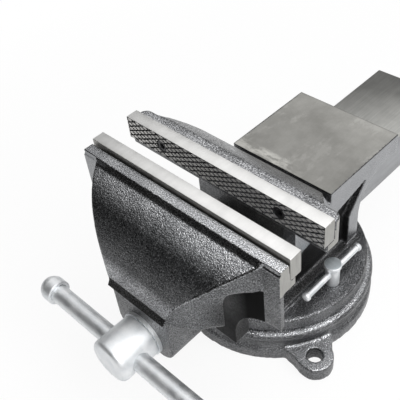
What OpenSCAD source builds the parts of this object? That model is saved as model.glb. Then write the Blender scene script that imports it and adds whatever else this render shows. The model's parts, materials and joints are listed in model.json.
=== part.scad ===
// Swivel bench vise with an anvil, a hollow slide and two T-bar lock bolts.
// Millimetres. Origin on the bench under the swivel axis, +X along the jaws, +Y to the rear, +Z up.

/* [Jaws] */
// Length of the jaw plates
jaw_w = 200; // [180:1:230]
// Thickness of a jaw plate
plate_t = 11.2; // [9:0.1:13]
// Height of a jaw plate
plate_h = 21; // [18:0.5:24]
// Gap between the gripping faces as shown
jaw_gap = 25; // [15:1:40]
// Height of the plate tops over the bench
jaw_top = 184; // [180:1:200]
// Distance of the fixed gripping face ahead of the swivel axis
jaw_reach = 60; // [56:1:66]
// Height of each plate left standing above its casting
lip_drop = 4; // [2:0.5:6]
// Height of the shelf under each plate
ledge_h = 7.5; // [6:0.5:9]
// Distance of the rear shelf behind its gripping face
rear_ledge_back = 3; // [2:0.5:5]
// Distance of the front shelf behind its gripping face
front_ledge_back = 6; // [4:0.5:6]
// Gap at the top between a plate and the lip behind it
lip_gap = 1; // [0.5:0.5:2.5]
// Distance between the two screws of a plate
screw_pitch = 120; // [90:1:140]
// Diameter of a plate screw's head
screw_head_d = 10.6; // [8:0.1:12]
// Diameter of a plate screw's shank
screw_d = 6.6; // [5:0.1:8]
// Length of a plate screw's shank behind the plate
screw_grip = 6; // [4:0.5:7]
// Height of the plate screws over the underside of their plate
screw_rise = 9.5; // [8:0.5:11]

/* [Fixed body] */
// Thickness of the rear casting behind its plate
rear_lip_t = 10; // [8:0.5:11]
// Corner radius of the rear casting in plan
rear_corner_r = 7; // [4:0.5:7.5]
// Width of the neck where it leaves the jaw
neck_w = 168; // [150:1:176]
// Thickness of the neck, measured upright
neck_t = 24; // [20:1:28]
// Radius of the neck's rounded top
neck_r = 130; // [100:5:180]
// Width of the anvil and of the housing under it
anvil_w = 106; // [102:1:112]
// Length of the anvil
anvil_len = 96; // [85:1:110]
// Distance of the anvil behind the swivel axis
anvil_start = 14; // [8:1:20]
// Depth of the anvil's face below the jaw tops
anvil_drop = 53; // [48:1:56]
// Thickness of the anvil's rim
anvil_t = 19; // [16:1:21]
// Height that the anvil stands above the end of the neck
anvil_rise = 16; // [12:1:18]
// Set-back of the front wall behind the gripping face
throat = 28; // [24:1:32]
// Thickness of the front wall
front_wall_t = 20; // [16:1:24]
// Distance of the rear column's back behind the swivel axis
column_back = 57; // [52:1:62]
// Thickness of the rear column
column_t = 15; // [12:1:18]
// Radius of the gusset from the column to the anvil
gusset_r = 35; // [28:1:38]
// Radius of the webs under the wings
web_r = 36; // [28:1:38]
// Wall left beside the slide's tunnel
tunnel_wall = 8; // [6:0.5:10]
// Distance of the sill under the side hollows from the lock bolts
sill_gap = 5.3; // [3:0.1:5.5]
// Height of that sill over the turntable
sill_h = 3; // [2:0.5:4]

/* [Slide and front jaw] */
// Width of the slide
slide_w = 76; // [72:1:80]
// Height of the slide
slide_h = 42; // [40:1:44]
// Depth of the slide's top below the jaw tops
slide_drop = 82; // [80:1:84]
// Side wall of the slide
slide_wall = 11; // [9:0.5:12]
// Roof of the slide
slide_roof = 9; // [8:0.5:10]
// Distance of the slide's tail behind the swivel axis as shown
slide_tail = 221; // [212:1:240]
// Thickness of the front casting ahead of its plate
front_lip_t = 10; // [8:0.5:12]
// Thickness of the front jaw's back wall behind the slide
back_wall_t = 16; // [14:0.5:18]
// Thickness of that wall's wings
wing_t = 9; // [8.5:0.5:11]
// Radius of the wings' rear edge in plan
wing_r = 8; // [5:0.5:8]
// Depth of the full-width part of the back wall below the jaw tops
back_wall_h = 65.5; // [58:0.5:70]
// Radius of the back wall's lower corners
back_wall_r = 46; // [36:1:48]
// Width of the hood where it leaves the lip
hood_w = 170; // [150:1:176]
// Height of the lip's front face above the hood
hood_drop = 3.5; // [3:0.5:6]
// Distance that the lip stands behind the wall's front
lip_step = 1; // [0.5:0.5:2]
// Radius of the hood's rounded top
hood_r = 66.8; // [60:0.2:74]
// Radius of the hood's side sweep in plan
sweep_r = 108; // [90:1:140]
// Thickness of the hood ahead of its side hollows
hood_front_t = 26.7; // [22:0.1:30]
// Depth of the side hollows' roof below the jaw tops
hood_roof_drop = 33.5; // [31:0.5:38]
// Length of the nose ahead of the lip
nose_len = 47; // [44:1:52]
// Width of the nose
nose_w = 62; // [56:1:66]
// Radius of the nose's lower corners
nose_r = 16; // [8:1:20]
// Depth of the brow's top edge below the jaw tops
brow_drop = 66; // [62:1:70]
// Height of the brow over the nose
brow_h = 5; // [4:0.5:7]
// Distance that the brow stands out
brow_out = 3.5; // [2:0.5:5]

/* [Spindle and handle] */
// Diameter of the spindle
spindle_d = 24; // [22:0.5:25]
// Depth of the spindle's axis below the jaw tops
spindle_drop = 108; // [107:0.5:109]
// Distance of the spindle's rear end behind the swivel axis as shown
spindle_tail = 210; // [200:1:212]
// Diameter of the spindle's head
head_d = 38; // [34:1:42]
// Length of the spindle's head
head_len = 35; // [30:1:40]
// Thickness of the thrust washer
thrust_t = 3; // [2:0.5:4]
// Wire of the return spring
spring_wire = 2.4; // [2:0.1:2.6]
// Length of the return spring
spring_len = 24; // [20:1:30]
// Curls of the return spring
spring_curls = 4; // [3:1:5]
// Thickness of the spring's washer
spring_washer_t = 3; // [2:0.5:4]
// Diameter of the split pin
pin_d = 4; // [3:0.5:5]
// Diameter of the handle bar
handle_d = 16; // [14:0.5:17]
// Length of the handle over its caps
handle_len = 230; // [200:1:280]
// Distance that the handle is pushed through to the right as shown
handle_shift = 13; // [0:1:30]
// Diameter of a handle cap
cap_d = 22; // [20:0.5:25]
// Length of a handle cap
cap_len = 18; // [16:0.5:22]

/* [Spindle nut] */
// Width of the nut block
nut_w = 48; // [44:1:50]
// Length of the nut block
nut_len = 60; // [50:1:66]
// Diameter of the nut's stem in the housing floor
stem_d = 34; // [30:1:36]
// Diameter of the bolt that holds the nut
nut_bolt_d = 12; // [10:0.5:14]
// Width across the flats of that bolt's head
nut_bolt_af = 19; // [16:0.5:22]
// Height of that bolt's head
nut_bolt_head = 7.5; // [6:0.5:8]
// Thickness of the washer under that bolt's head
nut_washer_t = 3; // [2:0.5:3.5]

/* [Base] */
// Height of the bench base up to the turntable
base_h = 32; // [30:1:36]
// Diameter of the base at the bench
base_d = 183; // [180:1:200]
// Height of the base's foot
base_foot_h = 12; // [10:0.5:14]
// Depth of the groove between the base's foot and its rim
base_groove = 2.5; // [1:0.5:4]
// Radius of the base's round rim
base_rim_r = 5; // [3:0.5:6]
// Distance of the turntable's edge inside the base's edge
disc_inset = 5.5; // [4:0.5:7]
// Thickness of the turntable
disc_t = 14; // [12:1:16]
// Diameter of the pilot ring that the turntable turns on
pilot_d = 60; // [56:1:64]
// Height of the pilot ring
pilot_h = 8; // [6:0.5:9]
// Bore through the middle of the base
base_bore_d = 48; // [46:1:50]
// Distance of the lock bolts inside the base's edge
lock_inset = 24; // [22.5:0.5:25.5]
// Width of the ring slot's neck
slot_w = 11; // [10.5:0.5:13]
// Width of the ring slot under its neck
slot_under_w = 26; // [24:1:27]
// Height of the ring slot under its neck
slot_under_h = 13; // [12:0.5:14]
// Thickness of the base over the ring slot
slot_cover_t = 8; // [7:0.5:10]
// Number of bench lugs
lug_count = 3; // [3:1:4]
// Distance of the bench bolts outside the base's edge
lug_reach = 11.5; // [10.5:0.5:16]
// Radius of a lug's round end
lug_end_r = 16; // [14:0.5:18]
// Thickness of a lug
lug_t = 15; // [12:1:18]
// Diameter of a bench bolt hole
bench_hole_d = 13.5; // [11:0.5:15]

/* [Lock bolts] */
// Diameter of a lock bolt's thread
lock_d = 8; // [7:0.5:9]
// Diameter of a lock bolt's shank over the turntable
lock_shank_d = 12.4; // [11.5:0.1:13]
// Diameter of a lock bolt's flat head
lock_head_d = 15; // [14:0.5:17]
// Thickness of that head
lock_head_t = 3; // [2:0.5:4]
// Height of a lock bolt's top over the turntable
lock_rise = 24; // [24:0.5:30]
// Height of the T-bar over the turntable
lock_bar_rise = 14; // [12:0.5:14]
// Diameter of a T-bar
lock_bar_d = 5.6; // [5:0.1:6]
// Length of a T-bar
lock_bar_len = 76; // [70:1:80]
// Diameter of a T-bar's upset ends
lock_bead_d = 7.6; // [7:0.1:8.5]
// Length of a T-bar's upset ends
lock_bead_len = 4; // [3:0.5:5]
// Width of a clamp nut in the ring slot
clamp_w = 22; // [20:0.5:22.5]
// Height of a clamp nut
clamp_h = 12; // [10:0.5:12]

/* [Fits] */
// Running clearance of the slide and the spindle, on each side
run_fit = 0.1; // [0.05:0.01:0.1]
// Clearance of pins, bolts and screws in their holes, on each side
pin_fit = 0.2; // [0.1:0.05:0.3]
// Clearance of a screwed or seated shank, on each side
seat_fit = 0.05; // [0.02:0.01:0.08]
// Clearance of loose washers and of the spring, on each side
loose_fit = 0.4; // [0.3:0.05:0.5]

/* [Hidden] */
$fn = 96;
fine = 200;
over = 1;
paint = "dimgray";
steel = "silver";
zinc = "lightsteelblue";
bronze = "peru";

// Places along Y
face_y = -jaw_reach;
rear_plate_back = face_y + plate_t;
beam_back = rear_plate_back + rear_lip_t;
open_y = face_y - jaw_gap;
front_plate_front = open_y - plate_t;
lip_front = front_plate_front - front_lip_t;
wall_front = lip_front - lip_step;
wall_back = wall_front + back_wall_t;
nose_front = lip_front - nose_len;
wall_y = face_y + throat;
anvil_back = anvil_start + anvil_len;
column_front = column_back - column_t;

// Heights
plate_z = jaw_top - plate_h;
lip_z = jaw_top - lip_drop;
ledge_z = plate_z - ledge_h;
screw_z = plate_z + screw_rise;
anvil_z = jaw_top - anvil_drop;
anvil_under = anvil_z - anvil_t;
slide_top = jaw_top - slide_drop;
slide_floor = slide_top - slide_h;
slide_ceiling = slide_top - slide_roof;
spindle_z = jaw_top - spindle_drop;
brow_z = jaw_top - brow_drop;
skin_z = lip_z - hood_drop;
disc_top = base_h + disc_t;
hood_roof = jaw_top - hood_roof_drop;

// Radii
spindle_r = spindle_d / 2;
tunnel_half = slide_w / 2 + run_fit;
housing_half = tunnel_half + tunnel_wall;
disc_r = base_d / 2 - disc_inset;
lock_r = base_d / 2 - lock_inset;
lug_bolt_r = base_d / 2 + lug_reach;
sill_half = lock_r - lock_shank_d / 2 - sill_gap;

// Centre of the circle of radius r through p and q, on the left of the way from p to q
function arc_centre(p, q, r) =
    let (d = q - p, h = norm(d) / 2, n = [-d.y, d.x] / norm(d))
    (p + q) / 2 + n * sqrt(r * r - h * h);

// Draws an outline in Y and Z, pushed out along X to both sides
module along_x(w) {
    rotate([90, 0, 90]) linear_extrude(w, center = true) children();
}

// Draws an outline in X and Z, pushed out from one Y to another
module along_y(from, to) {
    translate([0, to, 0]) rotate([90, 0, 0]) linear_extrude(to - from) children();
}

// A rod along Y about the spindle's axis
module spindle_rod(r, from, to) {
    translate([0, from, spindle_z]) rotate([-90, 0, 0]) cylinder(r = r, h = to - from);
}

module both_sides() {
    children();
    mirror([1, 0, 0]) children();
}

// Swivel base

slot_ceiling = base_h - slot_cover_t;
slot_floor = slot_ceiling - slot_under_h;
lug_root = 8;
lug_flare = 8;

module base_outline() {
    rim = base_d / 2 - base_rim_r;
    waist = base_d / 2 - base_groove;
    polygon([
        [base_bore_d / 2, 0], [base_d / 2, 0], [base_d / 2, base_foot_h],
        [waist, base_foot_h + base_groove], [waist, base_h - base_rim_r], [rim, base_h - base_rim_r],
        [rim, base_h], [pilot_d / 2, base_h], [pilot_d / 2, base_h + pilot_h],
        [base_bore_d / 2, base_h + pilot_h]
    ]);
    translate([rim, base_h - base_rim_r]) circle(base_rim_r);
}

module lug() {
    root = base_d / 2 - lug_root;
    flare = lug_end_r + lug_flare;
    linear_extrude(lug_t) {
        translate([lug_bolt_r, 0]) circle(lug_end_r);
        polygon([
            [root, -flare], [lug_bolt_r, -lug_end_r], [lug_bolt_r, lug_end_r], [root, flare]
        ]);
    }
}

module swivel_base() {
    color(paint) difference() {
        union() {
            rotate_extrude() base_outline();
            for (i = [0 : lug_count - 1]) rotate(90 + i * 360 / lug_count) lug();
        }
        rotate_extrude() {
            translate([lock_r - slot_w / 2, slot_floor]) square([slot_w, base_h]);
            translate([lock_r - slot_under_w / 2, slot_floor]) square([slot_under_w, slot_under_h]);
        }
        // Entry where the clamp nuts drop into the ring slot
        rotate(90) translate([lock_r - slot_under_w / 2, -clamp_w / 2 - pin_fit, slot_floor])
            cube([slot_under_w, clamp_w + 2 * pin_fit, base_h]);
        for (i = [0 : lug_count - 1]) rotate(90 + i * 360 / lug_count)
            translate([lug_bolt_r, 0, -over]) cylinder(d = bench_hole_d, h = lug_t + 2 * over);
    }
}

// Fixed body

neck_start = [beam_back, lip_z];
neck_end = [anvil_start, anvil_z - anvil_rise];
neck_centre = arc_centre(neck_end, neck_start, neck_r);
disc_chamfer = 1.5;
sill_rim = 4;
lip_seat = 2;
pilot_roof = 4;
floor_under = base_h + pilot_h + pilot_roof;
throat_r = wall_y - beam_back;

module beam_outline() {
    ledge = face_y + rear_ledge_back;
    polygon([
        [ledge, ledge_z], [ledge, plate_z], [rear_plate_back, plate_z],
        [rear_plate_back, plate_z + lip_seat], [rear_plate_back + lip_gap, lip_z], [beam_back, lip_z],
        [beam_back, ledge_z]
    ]);
}

// Plan of the rear jaw, with its back corners rounded
module beam_plan() {
    half = jaw_w / 2;
    back = beam_back - rear_corner_r;
    translate([-half, face_y]) square([jaw_w, back - face_y]);
    translate([-half + rear_corner_r, face_y])
        square([jaw_w - 2 * rear_corner_r, beam_back - face_y]);
    both_sides() translate([half - rear_corner_r, back]) circle(rear_corner_r);
}

// Plan of the neck, drawn in from the jaw to the anvil
module neck_plan() {
    w = neck_w / 2;
    a = anvil_w / 2;
    polygon([
        [-w, rear_plate_back], [w, rear_plate_back], [w, beam_back], [a, 0],
        [a, anvil_start], [-a, anvil_start], [-a, 0], [-w, beam_back]
    ]);
}

// Air over the neck, in Y and Z
module neck_air() {
    difference() {
        translate([beam_back, neck_end.y]) square([anvil_start - beam_back, jaw_top]);
        translate(neck_centre) circle(neck_r, $fn = fine);
    }
}

module neck_outline() {
    difference() {
        translate([rear_plate_back, neck_end.y - neck_t])
            square([anvil_start - rear_plate_back, lip_z - neck_end.y + neck_t]);
        neck_air();
        translate(neck_centre - [0, neck_t]) circle(neck_r, $fn = fine);
    }
}

module neck() {
    intersection() {
        along_x(neck_w) neck_outline();
        linear_extrude(jaw_top) neck_plan();
    }
}

// Webs that carry the wings, hollowed out below
module wing_webs() {
    half = anvil_w / 2;
    difference() {
        intersection() {
            along_y(wall_y, wall_y + front_wall_t) difference() {
                translate([-half - web_r, ledge_z - web_r])
                    square([2 * (half + web_r), web_r + ledge_h]);
                both_sides() translate([half + web_r, ledge_z - web_r]) circle(web_r);
            }
            linear_extrude(jaw_top) neck_plan();
        }
        along_x(jaw_w) neck_air();
    }
}

module housing_outline() {
    difference() {
        union() {
            translate([wall_y, base_h + disc_t / 2])
                square([column_back - wall_y, anvil_z - base_h - disc_t / 2]);
            translate([wall_y, anvil_under]) square([anvil_start - wall_y, lip_z - anvil_under]);
            translate([anvil_start, anvil_under]) square([anvil_len, anvil_t]);
            translate([column_back, anvil_under - gusset_r]) square(gusset_r);
            // Root of the jaw over the throat
            translate([rear_plate_back, ledge_z]) square([rear_lip_t, ledge_h]);
            translate([beam_back - over, ledge_z - throat_r])
                square([throat_r + 2 * over, lip_z - ledge_z + throat_r]);
        }
        neck_air();
        translate([column_back + gusset_r, anvil_under - gusset_r]) circle(gusset_r);
        translate([beam_back, ledge_z - throat_r]) circle(throat_r);
    }
}

// Sill round the housing's foot, in plan
module sill_plan() {
    intersection() {
        circle(disc_r - sill_rim);
        translate([-sill_half, -disc_r]) square([2 * sill_half, disc_r + column_back]);
    }
}

// Hollow in each side, from the front under the anvil to the column
pocket_tip = 23;
pocket_bend = 30;
pocket_knee = [9, 7];
pocket_front_drop = 21;

module pocket_outline() {
    floor = disc_top + sill_h;
    front = wall_y - over;
    polygon([
        [front, floor], [column_front, floor], [column_front, anvil_under - pocket_bend],
        [column_front + pocket_tip, anvil_under],
        [column_front - pocket_knee.x, anvil_under - pocket_knee.y],
        [front, anvil_under - pocket_front_drop]
    ]);
}

module fixed_body() {
    color(paint) difference() {
        union() {
            intersection() {
                along_x(jaw_w) beam_outline();
                linear_extrude(jaw_top) beam_plan();
            }
            neck();
            wing_webs();
            along_x(anvil_w) housing_outline();
            translate([0, 0, disc_top - over]) linear_extrude(sill_h + over) sill_plan();
            rotate_extrude() polygon([
                [0, base_h], [disc_r - disc_chamfer, base_h], [disc_r, base_h + disc_chamfer],
                [disc_r, disc_top - disc_chamfer], [disc_r - disc_chamfer, disc_top],
                [0, disc_top]
            ]);
        }
        // Tunnel of the slide
        translate([-tunnel_half, wall_y - over, slide_floor])
            cube([2 * tunnel_half, anvil_back - wall_y + 2 * over, slide_h + run_fit]);
        both_sides() translate([housing_half, 0, 0]) rotate([90, 0, 90])
            linear_extrude(jaw_w) pocket_outline();
        // Pilot ring's seat, bolt room and stem bore
        translate([0, 0, base_h - over])
            cylinder(r = pilot_d / 2 + run_fit, h = pilot_h + run_fit + over);
        translate([0, 0, base_h]) cylinder(d = base_bore_d, h = floor_under - base_h);
        translate([0, 0, base_h])
            cylinder(r = stem_d / 2 + seat_fit, h = slide_floor - base_h + over);
        both_sides() translate([lock_r, 0, base_h - over])
            cylinder(r = lock_d / 2 + pin_fit, h = disc_t + 2 * over);
        plate_screw_holes(rear_plate_back, 1);
    }
}

// Jaw plates and their screws

screw_head_t = 5;
socket_d = 5;
socket_depth = 3;
serration = 0.6;

// Tapped holes in a casting behind its plate, from the seat in the given direction
module plate_screw_holes(seat, way) {
    both_sides() translate([screw_pitch / 2, seat - way * over, screw_z]) rotate([-90 * way, 0, 0])
        cylinder(r = screw_d / 2 + seat_fit, h = screw_grip + over + pin_fit);
}

module jaw_plate(face, way) {
    back = face + way * plate_t;
    color(steel) difference() {
        translate([-jaw_w / 2, min(face, back), plate_z]) cube([jaw_w, plate_t, plate_h]);
        both_sides() translate([screw_pitch / 2, face - way * over, screw_z])
            rotate([-90 * way, 0, 0]) {
                cylinder(r = screw_d / 2 + pin_fit, h = plate_t + 2 * over);
                cylinder(r = screw_head_d / 2 + pin_fit, h = screw_head_t + serration + over);
            }
    }
}

module jaw_screws(face, way) {
    color(steel) both_sides() translate([screw_pitch / 2, face + way * serration, screw_z])
        rotate([-90 * way, 0, 0]) difference() {
            union() {
                cylinder(d = screw_head_d, h = screw_head_t);
                cylinder(d = screw_d, h = plate_t - serration + screw_grip);
            }
            translate([0, 0, -over]) cylinder(d = socket_d, h = socket_depth + over, $fn = 6);
        }
}

module rear_jaw_plate() {
    jaw_plate(face_y, 1);
}

module rear_jaw_screws() {
    jaw_screws(face_y, 1);
}

module front_jaw_plate() {
    jaw_plate(open_y, -1);
}

module front_jaw_screws() {
    jaw_screws(open_y, -1);
}

// Front jaw with its hood, nose and slide

lip_point = [lip_front, skin_z];
brow_point = [nose_front, brow_z];
hood_centre = arc_centre(lip_point, brow_point, hood_r);
sweep_centre = arc_centre([nose_w / 2, nose_front], [hood_w / 2, lip_front], sweep_r);
hood_root = nose_len + wing_t / 2;
hood_back = nose_front + hood_front_t;
lip_slope = [5, 7];
brow_flat = 0.5;

module front_beam_outline() {
    ledge = open_y - front_ledge_back;
    polygon([
        [ledge, ledge_z], [ledge, plate_z], [front_plate_front, plate_z],
        [front_plate_front, plate_z + lip_seat], [front_plate_front - lip_gap, lip_z], [lip_front, lip_z],
        [lip_front, skin_z], [wall_front, skin_z - lip_step], [wall_front, ledge_z]
    ]);
}

// Hood in Y and Z, open behind its front and under its roof
module hood_outline() {
    difference() {
        union() {
            intersection() {
                translate(hood_centre) circle(hood_r, $fn = fine);
                translate([nose_front - hood_r, brow_z - brow_h])
                    square([hood_r + hood_root, hood_r * 2]);
            }
            // Slope from the lip down to the hood
            translate([lip_front, lip_z])
                polygon([[0, 0], [-lip_slope.x, -lip_slope.y], [0, -lip_slope.y]]);
        }
        translate([hood_back, 0]) square([hood_root, hood_roof]);
    }
}

// Plan of the hood, two sweeps from the wings to the nose
module hood_plan() {
    intersection() {
        both_sweeps();
        translate([-jaw_w, nose_front - hood_r]) square([2 * jaw_w, hood_r + hood_root]);
    }
}

module both_sweeps() {
    intersection() {
        translate(sweep_centre) circle(sweep_r, $fn = fine);
        mirror([1, 0]) translate(sweep_centre) circle(sweep_r, $fn = fine);
    }
}

// Back wall, full width under the plate and drawn in to the slide
module back_wall_outline() {
    half = jaw_w / 2;
    shoulder = jaw_top - back_wall_h;
    difference() {
        translate([-half, slide_floor]) square([jaw_w, ledge_z + over - slide_floor]);
        both_sides() {
            translate([half, shoulder - back_wall_r]) circle(back_wall_r);
            translate([half - back_wall_r, 0]) square([jaw_w, shoulder - back_wall_r]);
        }
    }
}

// Plan of the back wall's wings, with their rear edges rounded off
module wing_plan() {
    half = jaw_w / 2;
    round_y = wall_front + wing_t - wing_r;
    translate([-half, wall_front]) square([jaw_w, wing_t - wing_r]);
    translate([-half + wing_r, wall_front]) square([jaw_w - 2 * wing_r, wing_t]);
    both_sides() translate([half - wing_r, round_y]) circle(wing_r);
}

// Nose in X and Z up to the given height, with its lower corners rounded
module nose_outline(top) {
    half = nose_w / 2;
    translate([-half, slide_floor + nose_r]) square([nose_w, top - slide_floor - nose_r]);
    translate([-half + nose_r, slide_floor]) square([nose_w - 2 * nose_r, top - slide_floor]);
    both_sides() translate([half - nose_r, slide_floor + nose_r]) circle(nose_r);
}

module front_jaw() {
    channel_half = slide_w / 2 - slide_wall;
    core_half = jaw_w / 2 - back_wall_r;
    color(paint) difference() {
        union() {
            along_x(jaw_w) front_beam_outline();
            intersection() {
                along_y(wall_front, wall_front + wing_t) back_wall_outline();
                linear_extrude(jaw_top) wing_plan();
            }
            translate([-core_half, wall_front, slide_floor])
                cube([2 * core_half, back_wall_t, ledge_z - slide_floor + over]);
            intersection() {
                along_x(jaw_w) hood_outline();
                linear_extrude(jaw_top) hood_plan();
            }
            along_x(nose_w) translate([nose_front, brow_z]) polygon([
                [-brow_flat, 0], [-brow_out, -brow_h], [hood_front_t, -brow_h], [hood_front_t, 0]
            ]);
            along_y(nose_front, wall_front + over) nose_outline(brow_z);
            along_y(hood_back - over, wall_front + over) nose_outline(hood_roof + over);
            translate([-slide_w / 2, wall_front, slide_floor])
                cube([slide_w, slide_tail - wall_front, slide_h]);
        }
        translate([-channel_half, wall_front, slide_floor - over])
            cube([2 * channel_half, slide_tail - wall_front + over, slide_ceiling - slide_floor + over]);
        spindle_rod(spindle_r + run_fit, nose_front - brow_out - over, wall_back);
        plate_screw_holes(front_plate_front, -1);
    }
}

// Spindle, its retaining pieces and its handle

head_back = nose_front - thrust_t;
head_front = head_back - head_len;
handle_y = (head_back + head_front) / 2;
spring_y = wall_front;
spring_washer_y = spring_y + spring_len;
washer_back = spring_washer_y + spring_washer_t;
pin_y = washer_back + pin_d / 2;
retainer_r = slide_ceiling - spindle_z - loose_fit;
head_round = 4;
thrust_rim = 1;

module spindle() {
    color(zinc) difference() {
        union() {
            spindle_rod(spindle_r, head_back - over, spindle_tail);
            translate([0, head_front, spindle_z]) rotate([-90, 0, 0]) rotate_extrude() {
                translate([0, head_round]) square([head_d / 2, head_len - head_round]);
                square([head_d / 2 - head_round, head_len]);
                translate([head_d / 2 - head_round, head_round]) circle(head_round);
            }
        }
        translate([0, handle_y, spindle_z]) rotate([0, 90, 0])
            cylinder(r = handle_d / 2 + pin_fit, h = 2 * head_d, center = true);
        translate([0, pin_y, spindle_z])
            cylinder(r = pin_d / 2 + seat_fit, h = 2 * spindle_d, center = true);
    }
}

module thrust_washer() {
    color(zinc) difference() {
        spindle_rod(head_d / 2 + thrust_rim, head_back, nose_front);
        spindle_rod(spindle_r + loose_fit, head_back - over, nose_front + over);
    }
}

module spring_washer() {
    color(zinc) difference() {
        spindle_rod(retainer_r, spring_washer_y, washer_back);
        spindle_rod(spindle_r + loose_fit, spring_washer_y - over, washer_back + over);
    }
}

module split_pin() {
    color(steel) translate([0, pin_y, spindle_z])
        cylinder(d = pin_d, h = 2 * retainer_r, center = true);
}

// Return spring, one tube wound round the spindle
spring_r = spindle_r + 2 * loose_fit + spring_wire / 2;
spring_steps = 16;
spring_rings = spring_steps * spring_curls;
spring_sides = 6;
spring_run = spring_len - spring_wire - 2 * loose_fit;

function coil_point(i) =
    let (a = 360 * i / spring_steps)
    [
        spring_r * cos(a), spring_wire / 2 + loose_fit + spring_run * i / spring_rings,
        spring_r * sin(a)
    ];

function coil_ring(i) =
    let (a = 360 * i / spring_steps, c = coil_point(i))
    [for (k = [0 : spring_sides - 1])
        let (t = 360 * k / spring_sides)
        c + spring_wire / 2 * [cos(t) * cos(a), sin(t), cos(t) * sin(a)]];

module return_spring() {
    rings = [for (i = [0 : spring_rings]) each coil_ring(i)];
    n = spring_sides;
    last = spring_rings * n;
    sides = [for (i = [0 : spring_rings - 1], k = [0 : n - 1])
        let (a = i * n + k, b = i * n + (k + 1) % n)
        each [[a, b, a + n], [b, b + n, a + n]]];
    ends = [for (k = [1 : n - 2]) each [[0, k + 1, k], [last, last + k, last + k + 1]]];
    turns = [for (i = [0 : spring_rings - spring_steps]) coil_point(i + spring_steps) - coil_point(i)];
    echo(spring_least_gap = min([for (turn = turns) norm(turn)]) - spring_wire);
    color(steel) translate([0, spring_y, spindle_z])
        polyhedron(points = rings, faces = concat(sides, ends));
}

bar_half = handle_len / 2;
cap_socket = 12;
cap_round = 9.5;
cap_rim = 1;

module handle_bar() {
    reach = bar_half - cap_len + cap_socket;
    color(zinc) translate([handle_shift, handle_y, spindle_z]) rotate([0, 90, 0])
        cylinder(d = handle_d, h = 2 * reach, center = true);
}

// A cap with a rounded end, its socket over the end of the bar
module handle_cap() {
    r = cap_d / 2;
    rotate([0, 90, 0]) rotate_extrude() difference() {
        union() {
            translate([0, cap_rim]) square([r, cap_len - cap_round - cap_rim]);
            square([r - cap_rim, cap_len - cap_round]);
            square([r - cap_round, cap_len]);
            translate([r - cap_round, cap_len - cap_round]) intersection() {
                circle(cap_round);
                square(cap_round);
            }
        }
        square([handle_d / 2 + seat_fit, cap_socket]);
    }
}

module handle_cap_right() {
    color(zinc) translate([handle_shift + bar_half - cap_len, handle_y, spindle_z]) handle_cap();
}

module handle_cap_left() {
    color(zinc) translate([handle_shift - bar_half + cap_len, handle_y, spindle_z])
        mirror([1, 0, 0]) handle_cap();
}

// Spindle nut on the housing floor

nut_top_gap = 2;
stem_short = 0.5;
nut_bolt_grip = 13;

module spindle_nut() {
    color(bronze) difference() {
        union() {
            translate([-nut_w / 2, -nut_len / 2, slide_floor])
                cube([nut_w, nut_len, slide_ceiling - nut_top_gap - slide_floor]);
            translate([0, 0, floor_under + stem_short])
                cylinder(d = stem_d, h = slide_floor - floor_under);
        }
        spindle_rod(spindle_r + run_fit, -nut_len, nut_len);
        translate([0, 0, base_h])
            cylinder(r = nut_bolt_d / 2 + seat_fit, h = floor_under - base_h + nut_bolt_grip + over);
    }
}

module nut_washer() {
    color(zinc) translate([0, 0, floor_under - nut_washer_t]) difference() {
        cylinder(r = base_bore_d / 2 - 2 * loose_fit, h = nut_washer_t);
        translate([0, 0, -over])
            cylinder(r = nut_bolt_d / 2 + pin_fit, h = nut_washer_t + 2 * over);
    }
}

module nut_bolt() {
    under = floor_under - nut_washer_t;
    color(zinc) {
        translate([0, 0, under - nut_bolt_head])
            cylinder(r = nut_bolt_af / 2 / cos(30), h = nut_bolt_head, $fn = 6);
        translate([0, 0, under - over])
            cylinder(d = nut_bolt_d, h = nut_washer_t + nut_bolt_grip + over);
    }
}

// Lock bolts, T-bars and clamp nuts

lock_flare = 2.5;
clamp_gap = 0.2;
clamp_top = slot_ceiling - clamp_gap;

// Bolt with a plain shank over the turntable and a flat head that flares out of it
module lock_bolt() {
    shank_r = lock_shank_d / 2;
    head_r = lock_head_d / 2;
    flare_z = lock_rise - lock_head_t - lock_flare;
    color(zinc) difference() {
        union() {
            translate([0, 0, clamp_top - clamp_h])
                cylinder(d = lock_d, h = disc_top + over - clamp_top + clamp_h);
            translate([0, 0, disc_top]) rotate_extrude() polygon([
                [0, 0], [shank_r, 0], [shank_r, flare_z], [head_r, flare_z + lock_flare],
                [head_r, lock_rise], [0, lock_rise]
            ]);
        }
        translate([0, 0, disc_top + lock_bar_rise]) rotate([90, 0, 0])
            cylinder(r = lock_bar_d / 2 + pin_fit, h = 2 * lock_head_d, center = true);
    }
}

module lock_bar() {
    half = lock_bar_len / 2;
    color(zinc) translate([0, 0, disc_top + lock_bar_rise]) rotate([-90, 0, 0]) {
        cylinder(d = lock_bar_d, h = lock_bar_len - lock_bead_len, center = true);
        for (end = [-half, half - lock_bead_len]) translate([0, 0, end])
            cylinder(d = lock_bead_d, h = lock_bead_len);
    }
}

module clamp_nut() {
    color(steel) difference() {
        translate([-clamp_w / 2, -clamp_w / 2, clamp_top - clamp_h])
            cube([clamp_w, clamp_w, clamp_h]);
        translate([0, 0, slot_floor]) cylinder(r = lock_d / 2 + seat_fit, h = base_h);
    }
}

module left_clamp_nut() {
    translate([-lock_r, 0, 0]) clamp_nut();
}

module right_clamp_nut() {
    translate([lock_r, 0, 0]) clamp_nut();
}

module left_lock_bolt() {
    translate([-lock_r, 0, 0]) lock_bolt();
}

module right_lock_bolt() {
    translate([lock_r, 0, 0]) lock_bolt();
}

module left_lock_bar() {
    translate([-lock_r, 0, 0]) lock_bar();
}

module right_lock_bar() {
    translate([lock_r, 0, 0]) lock_bar();
}

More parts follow.
